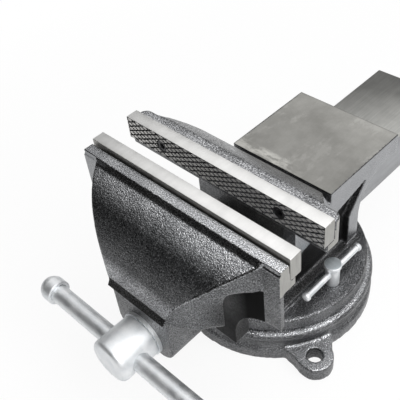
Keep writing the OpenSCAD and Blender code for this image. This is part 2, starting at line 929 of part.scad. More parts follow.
swivel_base();
fixed_body();
rear_jaw_plate();
rear_jaw_screws();
spindle_nut();
nut_washer();
nut_bolt();
left_clamp_nut();
right_clamp_nut();
left_lock_bolt();
right_lock_bolt();
left_lock_bar();
right_lock_bar();
front_jaw();
front_jaw_plate();
front_jaw_screws();
spindle();
thrust_washer();
return_spring();
spring_washer();
split_pin();
handle_bar();
handle_cap_left();
handle_cap_right();
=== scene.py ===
import json
import math

import bmesh
import bpy
import numpy as np
from mathutils import Matrix, Vector

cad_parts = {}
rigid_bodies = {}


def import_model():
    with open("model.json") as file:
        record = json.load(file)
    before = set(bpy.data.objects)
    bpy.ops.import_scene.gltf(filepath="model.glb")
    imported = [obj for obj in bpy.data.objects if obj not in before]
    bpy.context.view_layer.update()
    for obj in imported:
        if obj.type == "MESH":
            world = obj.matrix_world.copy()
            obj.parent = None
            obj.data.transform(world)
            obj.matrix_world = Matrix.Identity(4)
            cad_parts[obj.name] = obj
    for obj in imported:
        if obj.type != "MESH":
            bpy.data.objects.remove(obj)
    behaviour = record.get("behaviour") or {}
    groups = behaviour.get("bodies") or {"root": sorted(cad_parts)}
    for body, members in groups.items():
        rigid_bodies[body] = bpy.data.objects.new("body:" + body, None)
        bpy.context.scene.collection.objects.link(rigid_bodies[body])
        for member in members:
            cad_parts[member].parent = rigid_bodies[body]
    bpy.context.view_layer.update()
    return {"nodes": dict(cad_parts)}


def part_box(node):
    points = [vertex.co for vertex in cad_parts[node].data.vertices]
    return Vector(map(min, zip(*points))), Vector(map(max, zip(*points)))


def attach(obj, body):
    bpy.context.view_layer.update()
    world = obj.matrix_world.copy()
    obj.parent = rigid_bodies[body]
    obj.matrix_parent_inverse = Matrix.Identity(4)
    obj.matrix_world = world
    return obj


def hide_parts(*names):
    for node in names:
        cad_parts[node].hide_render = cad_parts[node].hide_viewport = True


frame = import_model()
nodes = frame["nodes"]
scene = bpy.context.scene
mm = 0.001
far = math.inf


# Small helpers for shader trees

def startMaterial(name, metallic, roughness):
    mat = bpy.data.materials.new(name)
    mat.use_nodes = True
    tree = mat.node_tree
    shader = tree.nodes["Principled BSDF"]
    shader.inputs["Metallic"].default_value = metallic
    shader.inputs["Roughness"].default_value = roughness
    return mat, tree, shader


def addNode(tree, kind, inputs=None, **settings):
    node = tree.nodes.new(kind)
    for key, value in settings.items():
        setattr(node, key, value)
    for key, value in (inputs or {}).items():
        if isinstance(value, bpy.types.NodeSocket):
            tree.links.new(value, node.inputs[key])
        else:
            node.inputs[key].default_value = value
    return node


def addRamp(tree, fac, places, colors):
    node = addNode(tree, "ShaderNodeValToRGB", {"Fac": fac})
    elements = node.color_ramp.elements
    while len(elements) < len(places):
        elements.new(0.5)
    while len(elements) > len(places):
        elements.remove(elements[-1])
    for element, place, color in zip(elements, places, colors):
        element.position = place
        element.color = (*color, 1)
    return node.outputs["Color"]


def objectCoords(tree, scale=(1, 1, 1)):
    coord = addNode(tree, "ShaderNodeTexCoord").outputs["Object"]
    return addNode(tree, "ShaderNodeMapping", {"Vector": coord, "Scale": scale}).outputs["Vector"]


def noise(tree, vector, size, detail=2.0, rough=0.5):
    return addNode(tree, "ShaderNodeTexNoise", {
        "Vector": vector, "Scale": 1 / size, "Detail": detail, "Roughness": rough}).outputs["Fac"]


def mapRange(tree, value, fromMin, fromMax, toMin, toMax):
    return addNode(tree, "ShaderNodeMapRange", {
        "Value": value, "From Min": fromMin, "From Max": fromMax,
        "To Min": toMin, "To Max": toMax}).outputs["Result"]


def math2(tree, operation, a, b):
    return addNode(tree, "ShaderNodeMath", {0: a, 1: b}, operation=operation).outputs[0]


def mixed(tree, a, b, share):  # share is b's
    return math2(tree, "ADD", math2(tree, "MULTIPLY", a, 1 - share), math2(tree, "MULTIPLY", b, share))


def scaled(tree, color, shade):
    return addNode(tree, "ShaderNodeVectorMath", {0: color, 3: shade}, operation="SCALE").outputs[0]


def parts(tree, vector):
    return addNode(tree, "ShaderNodeSeparateXYZ", {0: vector}).outputs


def mirrorRays(tree):
    rays = addNode(tree, "ShaderNodeLightPath").outputs
    return rays["Is Camera Ray"], math2(tree, "MAXIMUM", rays["Is Glossy Ray"], rays["Is Transmission Ray"])


# Colour, roughness and relief onto the shader
def dress(tree, shader, color, rough, height, strength, depth):
    bump = addNode(tree, "ShaderNodeBump", {"Height": height, "Strength": strength, "Distance": depth})
    for value, socket in ((color, "Base Color"), (rough, "Roughness"), (bump.outputs["Normal"], "Normal")):
        tree.links.new(value, shader.inputs[socket])


# Finishes: each noise is its size, detail and roughness

hammerPaint = {
    "metal": 0.92,
    "grain": (1.0 * mm, 1.5, 0.55),  # hammered dimples
    "flake": (0.6 * mm, 1.0),        # silver flakes
    "blotch": (22 * mm, 2.0),        # uneven patches
    "blotchShare": 0.15,
    "stretch": (1, 1, 1),            # draws the dimples and flakes out
    "dark": (0.055, 0.055, 0.057),
    "mid": (0.18, 0.183, 0.19),
    "silver": (0.46, 0.465, 0.475),
    "stops": (0.40, 0.5, 0.61),      # where those three lie in the fleck
    "depth": 0.55 * mm,
    "strength": 1.0,
    "flakeRise": 0.35,               # share of the flakes in the relief
    "rough": (0.32, 0.2),
    "shine": (0.35, 0.65),           # span of the flakes that the roughness follows
    "upright": (0.05, 0.5),          # how far a face leans up, from the calm coat to the full fleck
    "calm": 0.85,                    # share of the fleck that upright faces keep
    "paintedLight": ((0.0, 0.68), (0.6, 0.68), (0.92, 1.58)),  # painted light and shade: how light the coat lies at each lean
    "paintedLightTop": 2.0,                  # lightest painted light that the ramp holds
}
# What each coat changes
paintCoats = {
    "hammertonePaint": {},
    # Front jaw: painted shade round the hood's bend, painted light at its foot and top
    "hammertoneFront": {
        "dark": (0.045, 0.045, 0.047),
        "paintedLight": ((0.0, 0.70), (0.05, 0.75), (0.11, 1.5), (0.25, 1.45),
                 (0.38, 0.5), (0.75, 0.52), (0.89, 1.95), (1.0, 1.85)),
        "paintedSideLight": (-90 * mm, 85 * mm, -0.3, 0.26),  # painted light: darker to the left, lighter to the right
        "paintedSideLean": (0.5, 0.85),    # on faces that lean up this far
        # Painted shade on the hood's flanks, darker towards the hollows: clear at the first place, full at
        # the second
        "hollow": {"across": (30 * mm, 36 * mm), "front": (-144 * mm, -125.5 * mm), "lean": (0.4, 0.15),
                   "back": (-110 * mm, -112 * mm), "top": (151 * mm, 140 * mm), "dark": 0.08},
    },
    # Thinner coat on the upright sides, painted lighter as if lit
    "smoothLitSidePaint": {
        "dark": (0.20, 0.205, 0.214), "mid": (0.275, 0.28, 0.29), "silver": (0.35, 0.355, 0.365),
        "depth": 0.12 * mm, "paintedLight": ((0.0, 1.0),),
    },
    # Deeper, rougher coat on the turntable
    "turntablePaint": {
        "dark": (0.025, 0.025, 0.026), "mid": (0.085, 0.086, 0.09), "silver": (0.36, 0.365, 0.375),
        "paintedLight": ((0.0, 1.0),),
    },
    # Coat that ran down the neck behind the rear plate, with a painted highlight on the faces that lean up
    "neckPaint": {
        "stretch": (1, 0.6, 0.6), "depth": 0.4 * mm, "paintedLight": ((0.0, 0.9), (0.6, 0.9), (0.95, 1.5)),
        "dark": (0.03, 0.03, 0.031), "mid": (0.13, 0.132, 0.137), "silver": (0.46, 0.465, 0.475),
    },
    # Painted shade: a near-black coat in the body's side pockets and under the front jaw's wings
    "pocketShadePaint": {
        "dark": (0.012, 0.012, 0.012), "mid": (0.035, 0.035, 0.036), "silver": (0.16, 0.16, 0.163),
        "rough": (0.5, 0.4),
    },
    # Painted shade: dark edges on the brow, the hood's side edges and the anvil's rim
    "darkEdgeShadePaint": {
        "dark": (0.008, 0.008, 0.008), "mid": (0.022, 0.022, 0.022), "silver": (0.15, 0.15, 0.152),
        "rough": (0.42, 0.3),
    },
}


# Painted shade: how dark a flank lies near the front jaw's hollows
def paintedHollowShade(tree, place, lean, p):
    x, y, z = parts(tree, place)
    fade = 1.0
    edges = {"across": math2(tree, "ABSOLUTE", x, 0.0), "front": y, "back": y, "top": z, "lean": lean}
    for edge, value in edges.items():
        fade = math2(tree, "MULTIPLY", fade, mapRange(tree, value, *p[edge], 0.0, 1.0))
    return mapRange(tree, fade, 0.0, 1.0, 1.0, p["dark"])


def makeHammerPaint(name, change):
    p = {**hammerPaint, **change}
    mat, tree, shader = startMaterial(name, p["metal"], p["rough"][0])
    place = objectCoords(tree)
    drawn = objectCoords(tree, p["stretch"])
    dimples = noise(tree, drawn, *p["grain"])
    flakes = noise(tree, drawn, *p["flake"])
    blotch = noise(tree, place, *p["blotch"])
    lean = parts(tree, addNode(tree, "ShaderNodeTexCoord").outputs["Normal"])[2]
    tone = mixed(tree, mixed(tree, flakes, dimples, 0.5), blotch, p["blotchShare"])
    fleck = mapRange(tree, lean, *p["upright"], p["calm"], 1.0)
    tone = math2(tree, "ADD", math2(tree, "MULTIPLY", math2(tree, "SUBTRACT", tone, 0.5), fleck), 0.5)
    color = addRamp(tree, tone, p["stops"], (p["dark"], p["mid"], p["silver"]))
    # Painted light and shade: the coat lighter or darker by how far each face leans up
    leans, lights = zip(*p["paintedLight"])
    paintedLight = addRamp(tree, lean, leans, [(light / p["paintedLightTop"],) * 3 for light in lights])
    shade = math2(tree, "MULTIPLY", paintedLight, p["paintedLightTop"])
    # Painted light: lighter towards one side, on the faces that lean up
    if "paintedSideLight" in p:
        side = mapRange(tree, parts(tree, place)[0], *p["paintedSideLight"])
        paintedSideLight = math2(tree, "MULTIPLY", side, mapRange(tree, lean, *p["paintedSideLean"], 0.0, 1.0))
        shade = math2(tree, "MULTIPLY", shade, math2(tree, "ADD", paintedSideLight, 1.0))
    # Painted shade towards the hollows
    if "hollow" in p:
        shade = math2(tree, "MULTIPLY", shade, paintedHollowShade(tree, place, lean, p["hollow"]))
    rough = mapRange(tree, flakes, *p["shine"], *p["rough"])
    height = math2(tree, "ADD", dimples, math2(tree, "MULTIPLY", flakes, p["flakeRise"]))
    dress(tree, shader, scaled(tree, color, shade), rough, height, p["strength"], p["depth"])
    return mat


# Ground and machined steel: what all of it shares
steelGrain = {
    "metal": 1.0,
    "brush": (0.12, 3.0, 0.6),       # fine lines, drawn out by each finish's grain
    "stainNoise": (4.0, 0.6),
    "fine": (1.1 * mm, 2.0),
    "fineShare": 0.5,
    "brushed": 0.4,                  # share of the lines in the tone
    "stops": (0.32, 0.68),
    "shine": (0.3, 0.7),
    "relief": (0.12, 0.05 * mm),     # strength and depth
}
# A tail is painted light and shade along an axis: the axis, from where to where, and how light at each
groundSteel = {
    "groundPlate": {
        "low": (0.62, 0.617, 0.607), "high": (0.78, 0.777, 0.767), "rough": (0.42, 0.56),
        "grain": (14, 2, 2), "stain": 14 * mm,
    },
    "crossCutTeeth": {
        "low": (0.60, 0.59, 0.57), "high": (0.84, 0.83, 0.81), "rough": (0.5, 0.64), "metal": 0.35,
        # Painted shade on the teeth, darker towards the right
        "grain": (30, 30, 30), "stain": 20 * mm, "tail": (0, -95 * mm, 25 * mm, 1.2, 0.68),
    },
    "groundAnvil": {
        "low": (0.195, 0.192, 0.18), "high": (0.30, 0.296, 0.28), "rough": (0.34, 0.5), "brushed": 0.12,
        # Painted reflection on the anvil's top, lighter towards the rear
        "grain": (60, 6, 60), "stain": 30 * mm, "tail": (1, 55 * mm, 110 * mm, 1.0, 1.35),
        "smudge": {"stretch": (1, 0.45, 1), "noise": (17 * mm, 5.0, 0.68), "light": (0.55, 0.72, 0.0, 0.35)},
        "smear": {"place": (-8 * mm, 20 * mm), "run": (28 * mm, 6.5 * mm), "strength": 0.9,
                  "stretch": (0.35, 1, 1), "noise": (5 * mm, 4.0, 0.7), "light": (0.42, 0.6, 0.0, 1.0)},
    },
    "machinedSlide": {
        "low": (0.29, 0.29, 0.277), "high": (0.48, 0.477, 0.457), "rough": (0.3, 0.42),
        # Painted light on the slide, lighter near the anvil and darker towards its far end
        "grain": (90, 3, 90), "stain": 40 * mm, "tail": (1, 110 * mm, 225 * mm, 1.35, 0.75),
    },
    # Painted reflection: a darker, bluer copy of the slide's steel for its sides
    "slideSideReflection": {
        "low": (0.26, 0.265, 0.275), "high": (0.38, 0.386, 0.397), "rough": (0.32, 0.46),
        "grain": (90, 3, 90), "stain": 40 * mm,
    },
    # Bare machined ends; also laid on the jaw plates' back faces as painted shade
    "machinedEndAndShade": {
        "low": (0.30, 0.295, 0.28), "high": (0.44, 0.434, 0.414), "rough": (0.38, 0.5),
        "grain": (70, 70, 8), "stain": 16 * mm,
    },
}


# A light rubbed mark: strongest up to its place, gone a run past it
def smearTone(tree, place, p):
    squares = []
    for value, start, run in zip(parts(tree, place), p["place"], p["run"]):
        squares.append(math2(tree, "POWER", mapRange(tree, value, start, start + run, 0.0, 1.0), 2.0))
    near = mapRange(tree, math2(tree, "ADD", *squares), 0.0, 1.0, 1.0, 0.0)
    rubbed = noise(tree, objectCoords(tree, p["stretch"]), *p["noise"])
    mark = math2(tree, "MULTIPLY", near, mapRange(tree, rubbed, *p["light"]))
    return mapRange(tree, mark, 0.0, 1.0, 1.0, 1.0 + p["strength"])


def makeGround(name, change):
    p = {**steelGrain, **change}
    mat, tree, shader = startMaterial(name, p["metal"], p["rough"][0])
    place = objectCoords(tree)
    grain = noise(tree, objectCoords(tree, p["grain"]), *p["brush"])
    stain = noise(tree, place, p["stain"], *p["stainNoise"])
    fine = noise(tree, place, *p["fine"])
    tone = mixed(tree, stain, grain, p["brushed"])
    if "smudge" in p:
        rubbed = noise(tree, objectCoords(tree, p["smudge"]["stretch"]), *p["smudge"]["noise"])
        tone = math2(tree, "ADD", tone, mapRange(tree, rubbed, *p["smudge"]["light"]))
    color = addRamp(tree, tone, p["stops"], (p["low"], p["high"]))
    if "smear" in p:
        color = scaled(tree, color, smearTone(tree, place, p["smear"]))
    # Painted light and shade along the tail's axis
    if "tail" in p:
        axis, *span = p["tail"]
        color = scaled(tree, color, mapRange(tree, parts(tree, place)[axis], *span))
    rough = mapRange(tree, mixed(tree, stain, fine, p["fineShare"]), *p["shine"], *p["rough"])
    dress(tree, shader, color, rough, grain, *p["relief"])
    return mat


# Plated and bare metal: what all of it shares
metalSkin = {
    "cloudNoise": (3.0, 0.6),
    "pits": (0.6 * mm, 1.0),
    "pitShare": 0.25,
    "stops": (0.34, 0.64),
    "shine": (0.3, 0.7),
    "relief": (0.06, 0.06 * mm),
}
platedMetal = {
    "zincPlate": {
        "low": (0.74, 0.765, 0.785), "high": (0.90, 0.91, 0.92), "rough": (0.46, 0.62), "cloud": 9 * mm},
    # Painted shade: a darker, duller zinc for the lock bolts' flat tops
    "dullZincShade": {
        "low": (0.40, 0.44, 0.46), "high": (0.56, 0.60, 0.62), "rough": (0.34, 0.5), "cloud": 5 * mm},
    # Dark steel; also laid as painted shade in the jaw plates' grooves and holes
    "darkSteelAndShade": {
        "low": (0.05, 0.05, 0.052), "high": (0.15, 0.15, 0.155), "rough": (0.35, 0.55), "cloud": 3 * mm},
    "castBronze": {
        "low": (0.42, 0.27, 0.12), "high": (0.62, 0.43, 0.21), "rough": (0.3, 0.5), "cloud": 7 * mm},
}


def makePlated(name, change):
    p = {**metalSkin, **change}
    mat, tree, shader = startMaterial(name, 1.0, p["rough"][0])
    place = objectCoords(tree)
    pits = noise(tree, place, *p["pits"])
    tone = mixed(tree, noise(tree, place, p["cloud"], *p["cloudNoise"]), pits, p["pitShare"])
    color = addRamp(tree, tone, p["stops"], (p["low"], p["high"]))
    dress(tree, shader, color, mapRange(tree, tone, *p["shine"], *p["rough"]), pits, *p["relief"])
    return mat


# Painted shade inside the front jaw's hollows: a rough dark coat, darker outwards and down
hollowShadeCoat = {
    "low": (0.10, 0.10, 0.102), "high": (0.19, 0.19, 0.192), "rough": (0.8, 0.95), "specular": 0.1,
    "grain": (1.4 * mm, 2.0, 0.6), "stops": (0.35, 0.65), "shine": (0.3, 0.7), "relief": (0.5, 0.3 * mm),
    "across": (44 * mm, 69 * mm, 1.0, 0.04), "down": (112 * mm, 84 * mm, 1.0, 0.28),
}


def makeRough(name, p):
    mat, tree, shader = startMaterial(name, 0.0, p["rough"][0])
    shader.inputs["Specular IOR Level"].default_value = p["specular"]
    place = objectCoords(tree)
    x, y, z = parts(tree, place)
    grain = noise(tree, place, *p["grain"])
    color = addRamp(tree, grain, p["stops"], (p["low"], p["high"]))
    # Painted shade: darker outwards and down
    across = mapRange(tree, math2(tree, "ABSOLUTE", x, 0.0), *p["across"])
    shade = math2(tree, "MULTIPLY", across, mapRange(tree, z, *p["down"]))
    rough = mapRange(tree, grain, *p["shine"], *p["rough"])
    dress(tree, shader, scaled(tree, color, shade), rough, grain, *p["relief"])
    return mat


paintMat, frontPaintMat, litSidePaintMat, discPaintMat, neckPaintMat, pocketShadeMat, edgeShadePaintMat = (
    makeHammerPaint(*coat) for coat in paintCoats.items())
hollowShadowMat = makeRough("hollowShadow", hollowShadeCoat)
plateMat, teethMat, anvilMat, slideMat, slideReflectionMat, machinedEndAndShadeMat = (
    makeGround(*steel) for steel in groundSteel.items())
zincMat, dullZincShadeMat, darkSteelAndShadeMat, bronzeMat = (makePlated(*metal) for metal in platedMetal.items())
print("finishes:", len(bpy.data.materials))


# Small helpers for meshes

meshSet = {"merge": 2e-6, "close": 1e-6, "relaxStep": 0.5, "evenWeight": 60, "smoothAngle": 32}


def newObject(name, mesh):
    obj = bpy.data.objects.new(name, mesh)
    scene.collection.objects.link(obj)
    return obj


def meshFrom(bm, name):
    mesh = bpy.data.meshes.new(name)
    bm.to_mesh(mesh)
    bm.free()
    return mesh


def mergedCopy(node, name):
    bm = bmesh.new()
    bm.from_mesh(nodes[node].data)
    bmesh.ops.remove_doubles(bm, verts=bm.verts, dist=meshSet["merge"])
    return newObject(name, meshFrom(bm, name))


def bakeModifiers(obj):
    graph = bpy.context.evaluated_depsgraph_get()
    mesh = bpy.data.meshes.new_from_object(obj.evaluated_get(graph))
    old = obj.data
    obj.modifiers.clear()
    obj.data = mesh
    bpy.data.meshes.remove(old)


def vertexArray(mesh):
    co = np.empty(len(mesh.vertices) * 3)
    mesh.vertices.foreach_get("co", co)
    return co.reshape(-1, 3)


def faceArrays(mesh):
    centers = np.empty(len(mesh.polygons) * 3)
    normals = np.empty(len(mesh.polygons) * 3)
    mesh.polygons.foreach_get("center", centers)
    mesh.polygons.foreach_get("normal", normals)
    return centers.reshape(-1, 3), normals.reshape(-1, 3)


def relax(mesh, weights, passes):
    co = vertexArray(mesh)
    ends = np.empty(len(mesh.edges) * 2, dtype=np.int64)
    mesh.edges.foreach_get("vertices", ends)
    a, b = ends.reshape(-1, 2).T
    count = len(co)
    degree = np.bincount(a, minlength=count) + np.bincount(b, minlength=count)
    for _ in range(passes):
        total = np.stack([
            np.bincount(a, co[b, k], count) + np.bincount(b, co[a, k], count) for k in range(3)], axis=1)
        co += (meshSet["relaxStep"] * weights)[:, None] * (total / degree[:, None] - co)
    mesh.vertices.foreach_set("co", co.ravel())
    mesh.update()


# A zone is (over, under) in mm along x, y, z or out from the middle, and for the way that a face looks
def inZone(points, zone, normals=None):
    if callable(zone):
        return zone(points)
    x, y, z = points.T
    values = {"x": x, "y": y, "z": z, "out": np.abs(x)}
    if normals is not None:
        values.update(faceOut=np.abs(normals[:, 0]), faceY=normals[:, 1], faceZ=normals[:, 2])
    inside = np.full(len(points), True)
    for key, (over, under) in zone.items():
        unit = 1 if key.startswith("face") else mm
        inside &= (values[key] > over * unit) & (values[key] < under * unit)
    return inside


# How far each point is worn: wholly, or by the share of the first zone that holds it
def wearOf(co, zones):
    share = np.ones(len(co))
    for amount, zone in reversed(list(zones.values())):
        share[inZone(co, zone)] = amount
    return share


# A casting: the solid's skin at a small pitch, its edges worn soft, then thinned again
def softCasting(obj, casting, *wears):
    skin = obj.modifiers.new("skin", "REMESH")
    skin.mode = "VOXEL"
    skin.voxel_size = casting["pitch"]
    bakeModifiers(obj)
    for weightOf, passes in wears:
        relax(obj.data, weightOf(vertexArray(obj.data)), passes)
    thin = obj.modifiers.new("thin", "DECIMATE")
    thin.ratio = min(1.0, casting["triangles"] / (2 * len(obj.data.polygons)))
    bakeModifiers(obj)


# The main finish all over, and in each zone its own: the first zone that holds a face wins
def paintZones(mesh, main, zones):
    finishes = [main]
    for mat, zone in zones.values():
        if mat not in finishes:
            finishes.append(mat)
    mesh.materials.clear()
    for mat in finishes:
        mesh.materials.append(mat)
    centers, normals = faceArrays(mesh)
    index = np.zeros(len(centers), dtype=np.int32)
    for mat, zone in reversed(list(zones.values())):
        index[inZone(centers, zone, normals)] = finishes.index(mat)
    mesh.polygons.foreach_set("material_index", index)
    mesh.polygons.foreach_set("use_smooth", np.ones(len(mesh.polygons), dtype=bool))
    mesh.update()


def evenNormals(obj):
    even = obj.modifiers.new("even", "WEIGHTED_NORMAL")
    even.weight = meshSet["evenWeight"]
    bakeModifiers(obj)


def smoothByAngle(obj, degrees=meshSet["smoothAngle"]):
    mesh = obj.data
    mesh.polygons.foreach_set("use_smooth", np.ones(len(mesh.polygons), dtype=bool))
    mesh.set_sharp_from_angle(angle=math.radians(degrees))


def oneMaterial(obj, mat):
    obj.data.materials.clear()
    obj.data.materials.append(mat)
    obj.data.polygons.foreach_set("material_index", np.zeros(len(obj.data.polygons), dtype=np.int32))


def finishPiece(obj, body, slot, *replaced):
    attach(obj, body)
    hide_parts(*replaced)


def finishZinc(obj, body, node):
    oneMaterial(obj, zincMat)
    smoothByAngle(obj)
    finishPiece(obj, body, "zinc_plate", node)


# Rounds a profile of (along, radius, rounding) corners
def roundCorners(corners, steps):
    out = []
    points = [Vector(corner[:2]) for corner in corners]
    for i, (p, corner) in enumerate(zip(points, corners)):
        rounding = corner[2]
        if rounding == 0 or i in (0, len(corners) - 1):
            out.append(tuple(p))
            continue
        before = (points[i - 1] - p).normalized()
        after = (points[i + 1] - p).normalized()
        half = before.angle(after) / 2
        reach = rounding / math.tan(half)
        centre = p + (before + after).normalized() * (rounding / math.sin(half))
        start, end = p + before * reach - centre, p + after * reach - centre
        for k in range(steps + 1):
            mix = start.lerp(end, k / steps)
            out.append(tuple(centre + mix.normalized() * rounding))
    return out


axisTurn = {
    "X": Matrix(((0, 0, 1), (1, 0, 0), (0, 1, 0))).to_4x4(),
    "Y": Matrix(((0, 1, 0), (0, 0, 1), (1, 0, 0))).to_4x4(),
    "Z": Matrix.Identity(4),
}


# Turns a rounded profile about an axis through a place
def lathe(name, corners, axis, place, sides, steps=1):
    bm = bmesh.new()
    rings = []
    angles = [2 * math.pi * k / sides for k in range(sides)]
    for along, radius in roundCorners(corners, steps):
        if radius < meshSet["close"]:
            rings.append([bm.verts.new((0, 0, along))])
        else:
            rings.append([bm.verts.new((radius * math.cos(a), radius * math.sin(a), along)) for a in angles])
    for low, high in zip(rings, rings[1:]):
        for k in range(sides):
            turn = [(low, k), (low, k + 1), (high, k + 1), (high, k)]
            bm.faces.new(list(dict.fromkeys(ring[n % len(ring)] for ring, n in turn)))
    bmesh.ops.recalc_face_normals(bm, faces=bm.faces)
    bm.transform(Matrix.Translation(place) @ axisTurn[axis])
    return newObject(name, meshFrom(bm, name))


def cutWith(obj, cutter, operation):
    cut = obj.modifiers.new("cut", "BOOLEAN")
    cut.operation = operation
    cut.solver = "EXACT"
    cut.object = cutter
    bakeModifiers(obj)
    bpy.data.objects.remove(cutter)


def drill(obj, axis, place, radius, length, sides):
    corners = [(-length, 0, 0), (-length, radius, 0), (length, radius, 0), (length, 0, 0)]
    cutWith(obj, lathe("drillRod", corners, axis, place, sides), "DIFFERENCE")


def joinInto(obj, other):
    offset = len(obj.data.materials)
    bm = bmesh.new()
    bm.from_mesh(obj.data)
    first = len(bm.faces)
    bm.from_mesh(other.data)
    bm.faces.ensure_lookup_table()
    for face in bm.faces[first:]:
        face.material_index += offset
    bm.to_mesh(obj.data)
    bm.free()
    for mat in other.data.materials:
        obj.data.materials.append(mat)
    bpy.data.objects.remove(other)


# Geometry Nodes trees: named inputs for the sizes, one result mesh
def startTree(name, inputs):
    tree = bpy.data.node_groups.new(name, "GeometryNodeTree")
    for label, kind in inputs.items():
        tree.interface.new_socket(name=label, in_out="INPUT", socket_type="NodeSocket" + kind)
    tree.interface.new_socket(name="Geometry", in_out="OUTPUT", socket_type="NodeSocketGeometry")
    return tree, tree.nodes.new("NodeGroupInput").outputs, tree.nodes.new("NodeGroupOutput")


def endTree(tree, output, geometry, material):
    real = addNode(tree, "GeometryNodeRealizeInstances", {"Geometry": geometry})
    paint = addNode(tree, "GeometryNodeSetMaterial", {"Geometry": real.outputs[0], "Material": material})
    tree.links.new(paint.outputs[0], output.inputs[0])


def runTree(name, tree, values):
    obj = newObject(name, bpy.data.meshes.new(name))
    mod = obj.modifiers.new("pattern", "NODES")
    mod.node_group = tree
    for item in tree.interface.items_tree:
        if item.item_type == "SOCKET" and item.in_out == "INPUT":
            mod[item.identifier] = values[item.name]
    obj.update_tag()
    bakeModifiers(obj)
    return obj


def vectorOf(tree, x):
    return addNode(tree, "ShaderNodeCombineXYZ", {0: x}).outputs[0]


# Front jaw: hood, nose and lip cast, the slide machined
frontCasting = {
    "pitch": 1.05 * mm, "passes": 1, "triangles": 180000, "cut": -90.4 * mm,
    "keen": {"ends": (0.2, {"out": (98.5, far), "z": (150, far)}),
             "brow": (0.2, {"y": (-far, -150), "z": (109.5, 121.5)})},
    "seat": {"wear": 0.4, "ahead": 1},
    "hollow": {"edge": -126.5 * mm, "top": 156 * mm, "reach": 14 * mm, "slack": 2,
               "out": 31.5 * mm, "run": 3 * mm, "passes": 130},
}
frontZones = {
    "bareEnds": (machinedEndAndShadeMat, {"out": (99.2, far), "z": (155, far), "faceOut": (0.93, far)}),
    # Painted shade: the dark edge coat on the brow and the hood's side edges
    "brow": (edgeShadePaintMat, {"y": (-far, -152.9), "z": (112, 119), "faceZ": (0.12, far)}),
    "sideEdges": (edgeShadePaintMat, {
        "y": (-far, -108), "z": (119, 177), "faceOut": (0.15, far), "faceZ": (0.15, 0.95)}),
    # Painted light: the lighter side coat on the left wing's front face
    "leftWing": (litSidePaintMat, {"x": (-far, -72), "y": (-112, far), "faceY": (-far, -0.8)}),
    # Painted shade: the dark coat in the hollows
    "hollows": (hollowShadowMat, {"out": (31.5, 86), "y": (-126, -106.4), "z": (-far, 150.6)}),
    # Painted shade: the near-black coat under the wings' arches and on the lip's front slope
    "arches": (pocketShadeMat, {
        "out": (52, far), "y": (-106.8, far), "z": (-far, 106), "faceY": (-0.8, far)}),
    "lipSlope": (pocketShadeMat, {
        "y": (-112.6, -105.4), "z": (174, far), "faceY": (-far, -0.5), "faceZ": (0.3, 0.76)}),
}
slideForm = {
    "half": 38 * mm, "low": 60 * mm, "high": 102 * mm, "channel": 27 * mm, "ceiling": 93 * mm,
    "start": -93 * mm, "tail": 221 * mm, "edge": 0.9 * mm, "edgeSteps": 2, "root": 2.5 * mm, "rootSteps": 4,
}
# Painted reflection on the slide's sides
slideZones = {"sides": (slideReflectionMat, {"faceOut": (0.9, far)})}


def machinedSlide(p):
    outline = [(-p["half"], p["low"]), (-p["half"], p["high"]), (p["half"], p["high"]), (p["half"], p["low"]),
               (p["channel"], p["low"]), (p["channel"], p["ceiling"]), (-p["channel"], p["ceiling"]),
               (-p["channel"], p["low"])]
    bm = bmesh.new()
    near = [bm.verts.new((x, p["start"], z)) for x, z in outline]
    ends = [bm.verts.new((x, p["tail"], z)) for x, z in outline]
    for i in range(len(outline)):
        k = (i + 1) % len(outline)
        bm.faces.new((near[i], near[k], ends[k], ends[i]))
    bm.faces.new(near)
    bm.faces.new(ends)
    bmesh.ops.recalc_face_normals(bm, faces=bm.faces)
    close = meshSet["close"]

    def isRoot(edge):
        a, b = (vert.co for vert in edge.verts)
        inside = all(abs(co.x) < p["channel"] + close and co.z > p["ceiling"] - close for co in (a, b))
        return inside and abs(a.y - b.y) > close

    inner = [edge for edge in bm.edges if isRoot(edge)]
    outer = [edge for edge in bm.edges if edge not in inner]
    for edges, size, steps in ((inner, p["root"], p["rootSteps"]), (outer, p["edge"], p["edgeSteps"])):
        edges = [edge for edge in edges if edge.is_valid]
        bmesh.ops.bevel(bm, geom=edges, offset=size, segments=steps, profile=0.5, affect="EDGES")
    return newObject("machinedSlide", meshFrom(bm, "machinedSlide"))


def buildFrontJaw():
    p = frontCasting
    jaw = mergedCopy("front_jaw", "frontJaw")
    bm = bmesh.new()
    bm.from_mesh(jaw.data)
    cut = bmesh.ops.bisect_plane(
        bm, geom=bm.verts[:] + bm.edges[:] + bm.faces[:], plane_co=(0, p["cut"], 0),
        plane_no=(0, 1, 0), clear_outer=True)
    rim = [e for e in cut["geom_cut"] if isinstance(e, bmesh.types.BMEdge)]
    bmesh.ops.triangle_fill(bm, edges=rim, use_beauty=True)
    bmesh.ops.recalc_face_normals(bm, faces=bm.faces)
    bm.to_mesh(jaw.data)
    bm.free()
    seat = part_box("front_jaw_plate")[0].y / mm
    wear = {**p["keen"], "seat": (p["seat"]["wear"], {"y": (seat - p["seat"]["ahead"], far)})}

    def hollowWear(co):
        h = p["hollow"]
        near = h["slack"] * (1 - np.abs(co[:, 1] - h["edge"]) / h["reach"])
        below = (h["top"] - co[:, 2]) / h["reach"]
        out = (np.abs(co[:, 0]) - h["out"]) / h["run"]
        return np.prod(np.clip((near, below, out), 0, 1), axis=0)

    softCasting(jaw, p, (lambda co: wearOf(co, wear), p["passes"]), (hollowWear, p["hollow"]["passes"]))
    paintZones(jaw.data, frontPaintMat, frontZones)
    evenNormals(jaw)
    slide = machinedSlide(slideForm)
    paintZones(slide.data, slideMat, slideZones)
    smoothByAngle(slide)
    joinInto(jaw, slide)
    finishPiece(jaw, "moving_jaw", "hammertone_casting", "front_jaw")
    print("front jaw:", len(jaw.data.polygons), "faces")


buildFrontJaw()


